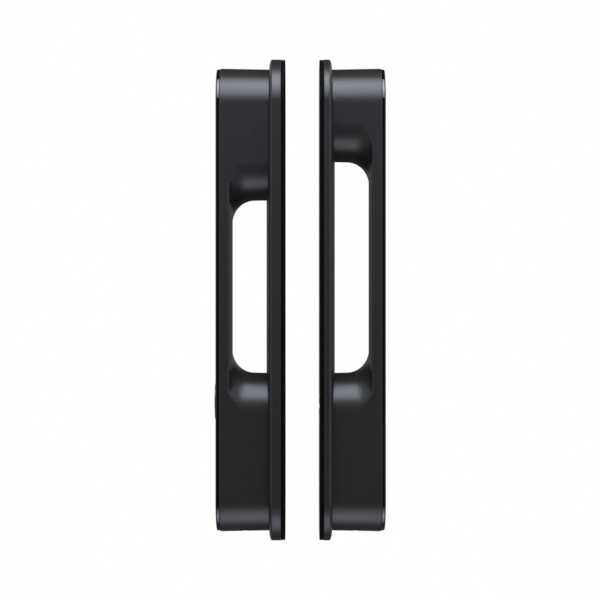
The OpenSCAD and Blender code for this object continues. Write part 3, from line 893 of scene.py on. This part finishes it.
class LOCK_OT_fingerprint_reader(bpy.types.Operator):
    """Turned bezel and dark window of the fingerprint reader"""

    bl_idname = "lock.fingerprint_reader"
    bl_label = "Fingerprint reader"

    def execute(self, context):
        steps = context.scene.lock_sizes.steps
        back, front = depths("fingerprint_ring")
        face = depths("fingerprint_sensor")[1]
        ring_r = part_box("fingerprint_ring")[1].y
        sensor_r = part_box("fingerprint_sensor")[1].y
        bore_r = sensor_r + FIT
        funnel_r = sensor_r + mm(2.2)
        core_r, dish_r, dish_d = mm(3), mm(7), mm(0.3)
        outline = rounded([(back, bore_r, 0), (back, ring_r, mm(0.3)), (front, ring_r, mm(0.35)),
                           (front, funnel_r, mm(0.5)), (face, bore_r, 0), (back, bore_r, 0)])
        settle(disc("fingerprint_bezel", outline, FINGER_Z, steps), "fingerprint_ring")
        outline = rounded([(back, core_r, 0), (back, sensor_r, mm(0.2)), (face, sensor_r, mm(0.25)),
                           (face - dish_d, dish_r, mm(6)), (face - dish_d, core_r, 0)])
        settle(disc("fingerprint_window", outline, FINGER_Z, steps), "fingerprint_sensor")
        return {"FINISHED"}


class LOCK_OT_key_cap(bpy.types.Operator):
    """Lift-off cap over the keyhole"""

    bl_idname = "lock.key_cap"
    bl_label = "Key cap"

    def execute(self, context):
        steps = context.scene.lock_sizes.steps
        back, front = depths("key_cap")
        glass = depths("outer_glass")[1]
        magnet_x = depths("cap_magnet")[1]
        magnet_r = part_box("cap_magnet")[1].y + FIT
        flange_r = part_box("key_cap")[1].y
        plug_r = mm(11.3)
        outline = rounded([(magnet_x, HUB_R, 0), (magnet_x, magnet_r, 0), (back, magnet_r, 0),
                           (back, plug_r, mm(0.4)), (glass, plug_r, 0), (glass, flange_r, mm(0.15)),
                           (front, flange_r, mm(0.4)), (front, HUB_R, 0)])
        settle(disc("keyhole_cap", outline, AXIS_Z, steps), "key_cap")
        return {"FINISHED"}


class LOCK_OT_thumbturn(bpy.types.Operator):
    """Flush turning disc with two finger recesses"""

    bl_idname = "lock.thumbturn"
    bl_label = "Thumbturn"

    def execute(self, context):
        steps = context.scene.lock_sizes.steps
        back, front = depths("thumbturn")
        seat_x = depths("thumbturn_shaft")[1]
        seat_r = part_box("thumbturn_shaft")[1].y + FIT
        turn_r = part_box("thumbturn")[1].y
        outline = rounded([(seat_x, HUB_R, 0), (seat_x, seat_r, 0), (back, seat_r, 0),
                           (back, turn_r, mm(0.3)), (front, turn_r, mm(0.4)), (front, HUB_R, 0)])
        turn = disc("thumbturn_disc", outline, AXIS_Z, steps)
        recess_d, recess_w, recess_h, rib = mm(3.25), mm(7), mm(15), mm(5)
        corner_r, floor_r = mm(2.6), mm(1.2)

        def upright(edge):
            """True for an edge that runs along the depth axis."""
            return abs((edge.verts[0].co - edge.verts[1].co).normalized().x) > 0.9

        for side in (-1, 1):
            middle = side * (rib + recess_w) / 2
            recess = block("recess", (front - recess_d, middle - recess_w / 2, AXIS_Z - recess_h / 2),
                           (front + recess_d, middle + recess_w / 2, AXIS_Z + recess_h / 2))
            only(recess)
            bpy.ops.object.mode_set(mode="EDIT")
            bevel_picked(upright, corner_r, 6)
            bevel_picked(lambda edge: turned_edge(edge) and not upright(edge)
                         and all(v.co.x < front - recess_d / 2 for v in edge.verts), floor_r, 4)
            bpy.ops.object.mode_set(mode="OBJECT")
            cut(turn, recess)
        settle(turn, "thumbturn")
        return {"FINISHED"}


# ---------- what the frame already shapes ----------


class LOCK_OT_inner_parts(bpy.types.Operator):
    """Finishes of the boards, ports, cylinder, fasteners and the rest, which keep their CAD shapes"""

    bl_idname = "lock.inner_parts"
    bl_label = "Inner parts"

    def execute(self, context):
        for name, node in frame["nodes"].items():
            if node.hide_render:
                continue
            finish = FINISHES[SLOT_OF[name]]()
            for slot in node.material_slots:
                slot.material = finish
        return {"FINISHED"}


# ---------- stage ----------


# Place before and above the lock, width and height, and the angle over which the light spreads.
KEY_BOX = (-0.46, 0.74), (0.34, 0.94), math.radians(84)
LOW_BOX = (-0.26, -0.7), (0.34, 0.96), math.radians(66)
FLOOR_R = 1.8
FLOOR_FADE = (0.7, 1.75)  # radii between which the floor fades out
# Parts of a direction along Y, X and Z between which the room's light changes.
CAMERA_TO_BACKDROP = (-0.5, 0.5)
MIDDLE_TO_WALL = (0.15, 0.8)
FOOT_TO_HEAD = (-0.3, 0.1)


class LOCK_OT_stage(bpy.types.Operator):
    """Pale floor, soft boxes above and below, white room and camera"""

    bl_idname = "lock.stage"
    bl_label = "Stage"

    def execute(self, context):
        stage = context.scene.lock_stage
        self.floor(stage)
        self.soft_box(stage, "key_light", stage.key, *KEY_BOX)
        self.soft_box(stage, "low_light", stage.low, *LOW_BOX)
        self.room(context.scene, stage)
        self.camera(context.scene, stage)
        context.scene.view_settings.view_transform = "Standard"
        return {"FINISHED"}

    def floor(self, stage):
        """Pale disc that fades out towards its rim."""
        bpy.ops.object.select_all(action="DESELECT")
        bpy.ops.mesh.primitive_circle_add(vertices=96, radius=FLOOR_R, fill_type="NGON",
                                          location=(0, 0, stage.floor_z))
        floor = bpy.context.object
        floor.name = floor.data.name = "floor"
        bpy.ops.object.transform_apply(location=True, rotation=True, scale=True)
        material, shader = surface("painted_floor", "#d9d9d9", Roughness=0.9)
        tree = material.node_tree
        place = add(tree, "ShaderNodeTexCoord").outputs["Object"]
        flat = add(tree, "ShaderNodeVectorMath", (place, (1, 1, 0)), operation="MULTIPLY").outputs["Vector"]
        reach = add(tree, "ShaderNodeVectorMath", (flat,), operation="LENGTH").outputs["Value"]
        faded = add(tree, "ShaderNodeMapRange", (reach, *FLOOR_FADE),
                    interpolation_type="SMOOTHSTEP").outputs["Result"]
        glossy = add(tree, "ShaderNodeLightPath").outputs["Is Glossy Ray"]
        hidden = add(tree, "ShaderNodeMath", (glossy, 1 - stage.floor_gloss),
                     operation="MULTIPLY").outputs["Value"]
        gone = add(tree, "ShaderNodeMath", (faded, hidden), operation="MAXIMUM").outputs["Value"]
        clear = add(tree, "ShaderNodeBsdfTransparent").outputs["BSDF"]
        mix = add(tree, "ShaderNodeMixShader", (gone, shader.outputs["BSDF"], clear))
        tree.links.new(mix.outputs["Shader"], tree.nodes["Material Output"].inputs["Surface"])
        floor.data.materials.append(material)

    def soft_box(self, stage, name, power, place, size, angle):
        """A soft box that faces the lock and isn't seen itself."""
        lamp = bpy.data.lights.new(name, "AREA")
        lamp.shape = "RECTANGLE"
        lamp.size, lamp.size_y = size
        lamp.energy = power
        lamp.color = linear(stage.light)[:3]
        lamp.spread = angle
        light = bpy.data.objects.new(name, lamp)
        light.location = (stage.camera_x, *place)
        light.rotation_euler = Vector((0, *place)).to_track_quat("Z", "Y").to_euler()
        light.visible_camera = False
        bpy.context.scene.collection.objects.link(light)

    def room(self, scene, stage):
        """Room with pale walls to the left and right, before a white background.

        The camera and clear glass see the background itself, and gloss a share of it.
        """
        world = bpy.data.worlds.new("studio")
        world.use_nodes = True
        scene.world = world
        tree = world.node_tree
        place = add(tree, "ShaderNodeTexCoord").outputs["Generated"]
        way = add(tree, "ShaderNodeSeparateXYZ", (place,)).outputs
        ahead = add(tree, "ShaderNodeMapRange", (way["Y"], *CAMERA_TO_BACKDROP, stage.front, stage.back),
                    interpolation_type="SMOOTHSTEP").outputs["Result"]
        sides = add(tree, "ShaderNodeMapRange", (way["X"], -1, 1, stage.left, stage.right)).outputs["Result"]
        aside = add(tree, "ShaderNodeMath", (way["X"],), operation="ABSOLUTE").outputs["Value"]
        wall = add(tree, "ShaderNodeMapRange", (aside, *MIDDLE_TO_WALL),
                   interpolation_type="SMOOTHSTEP").outputs["Result"]
        around = add(tree, "ShaderNodeMix", {0: wall, 2: ahead, 3: sides}).outputs[0]
        height = add(tree, "ShaderNodeMapRange", (way["Z"], *FOOT_TO_HEAD, stage.foot, 1),
                     interpolation_type="SMOOTHSTEP").outputs["Result"]
        light = add(tree, "ShaderNodeMath", (around, height), operation="MULTIPLY").outputs["Value"]

        ray = add(tree, "ShaderNodeLightPath").outputs
        clear = add(tree, "ShaderNodeMath", (ray["Is Camera Ray"], ray["Is Transmission Ray"]),
                    operation="MAXIMUM").outputs["Value"]
        gloss = add(tree, "ShaderNodeMath", (ray["Is Glossy Ray"], stage.gloss),
                    operation="MULTIPLY").outputs["Value"]
        seen = add(tree, "ShaderNodeMath", (clear, gloss), operation="MAXIMUM").outputs["Value"]
        strength = add(tree, "ShaderNodeMix", {0: seen, 2: light, 3: 1.0}).outputs[0]
        background = tree.nodes["Background"]
        background.inputs["Color"].default_value = (1, 1, 1, 1)
        tree.links.new(strength, background.inputs["Strength"])

    def camera(self, scene, stage):
        """Level camera that looks along the face of the door."""
        data = bpy.data.cameras.new("camera")
        data.lens = data.sensor_width * stage.camera_d / stage.view_w
        camera = bpy.data.objects.new("camera", data)
        camera.location = (stage.camera_x, -stage.camera_d, 0)
        camera.rotation_euler = (math.pi / 2, 0, 0)
        scene.collection.objects.link(camera)
        scene.camera = camera


# ---------- panel and registration ----------

OPERATORS = (
    LOCK_OT_gaskets, LOCK_OT_plates, LOCK_OT_grip_bodies, LOCK_OT_front_panels, LOCK_OT_numerals,
    LOCK_OT_fingerprint_reader, LOCK_OT_key_cap, LOCK_OT_thumbturn, LOCK_OT_inner_parts, LOCK_OT_stage,
)


class LOCK_PT_sidebar(bpy.types.Panel):
    """Lists the steps that build the lock"""

    bl_idname = "LOCK_PT_sidebar"
    bl_label = "Grip lock"
    bl_space_type = "VIEW_3D"
    bl_region_type = "UI"
    bl_category = "Grip lock"

    def draw(self, context):
        for settings in (context.scene.lock_sizes, context.scene.lock_colours, context.scene.lock_stage):
            box = self.layout.box()
            for name in settings.__annotations__:
                box.prop(settings, name)
        for operator in OPERATORS:
            self.layout.operator(operator.bl_idname)


CLASSES = (LockSizes, LockColours, StageSettings, *OPERATORS, LOCK_PT_sidebar)


def register():
    for cls in CLASSES:
        bpy.utils.register_class(cls)
    bpy.types.Scene.lock_sizes = PointerProperty(type=LockSizes)
    bpy.types.Scene.lock_colours = PointerProperty(type=LockColours)
    bpy.types.Scene.lock_stage = PointerProperty(type=StageSettings)


def unregister():
    del bpy.types.Scene.lock_stage
    del bpy.types.Scene.lock_colours
    del bpy.types.Scene.lock_sizes
    for cls in reversed(CLASSES):
        bpy.utils.unregister_class(cls)


def main():
    register()
    bpy.ops.lock.gaskets()
    bpy.ops.lock.plates()
    bpy.ops.lock.grip_bodies()
    bpy.ops.lock.front_panels()
    bpy.ops.lock.numerals()
    bpy.ops.lock.fingerprint_reader()
    bpy.ops.lock.key_cap()
    bpy.ops.lock.thumbturn()
    bpy.ops.lock.inner_parts()
    bpy.ops.lock.stage()


if __name__ == "__main__":
    main()
